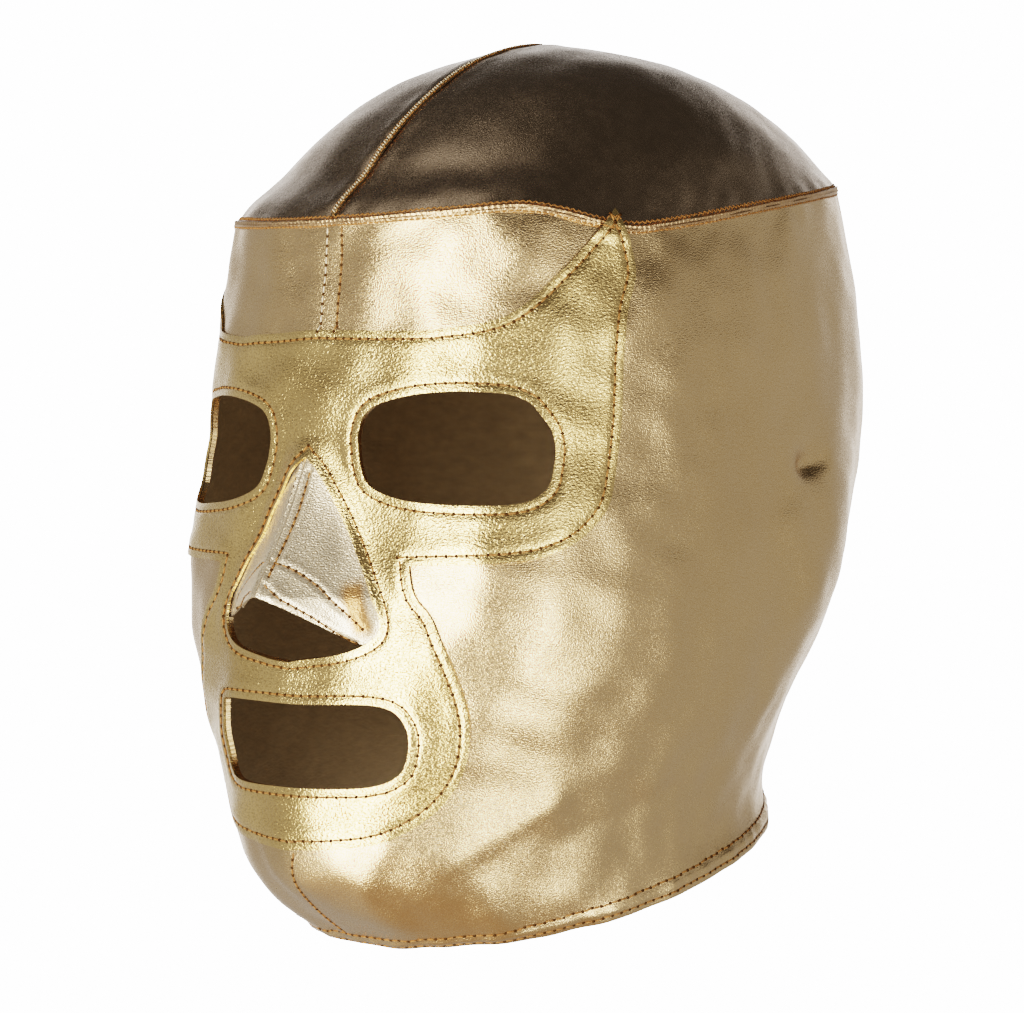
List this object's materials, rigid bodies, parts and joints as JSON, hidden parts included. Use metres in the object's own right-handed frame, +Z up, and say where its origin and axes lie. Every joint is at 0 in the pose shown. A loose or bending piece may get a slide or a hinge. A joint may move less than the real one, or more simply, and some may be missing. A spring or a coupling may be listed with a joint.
{
  "type": "luchador mask",
  "caption": "Full-head cloth wrestling mask with a shiny sewn surround for eyes, nose and mouth, a stitched crown seam and an open hemmed neck.",
  "frame": {"origin": "inside of the crown on the centre plane, where the mask sits on the top of the head", "axes": "+Z up along the head, the face looks along -Y, +X is the wearer's left"},
  "size_m": [0.1562, 0.205, 0.2391],
  "materials": {
    "crown_cloth": "dark bronze metallic stretch cloth",
    "side_cloth": "golden beige metallic stretch cloth",
    "overlay_leather": "shiny gold metallic leather with a fine pebbled grain",
    "welt_cloth": "folded metallic cloth band"
  },
  "bodies": {
    "root": {"crown_panel_left": "crown_cloth", "crown_panel_right": "crown_cloth", "side_panel_left": "side_cloth", "side_panel_right": "side_cloth", "nose_panel_left": "side_cloth", "nose_panel_right": "side_cloth", "face_overlay": "overlay_leather", "forehead_welt": "welt_cloth", "crown_welt": "welt_cloth", "neck_hem": "side_cloth"}
  },
  "joints": []
}
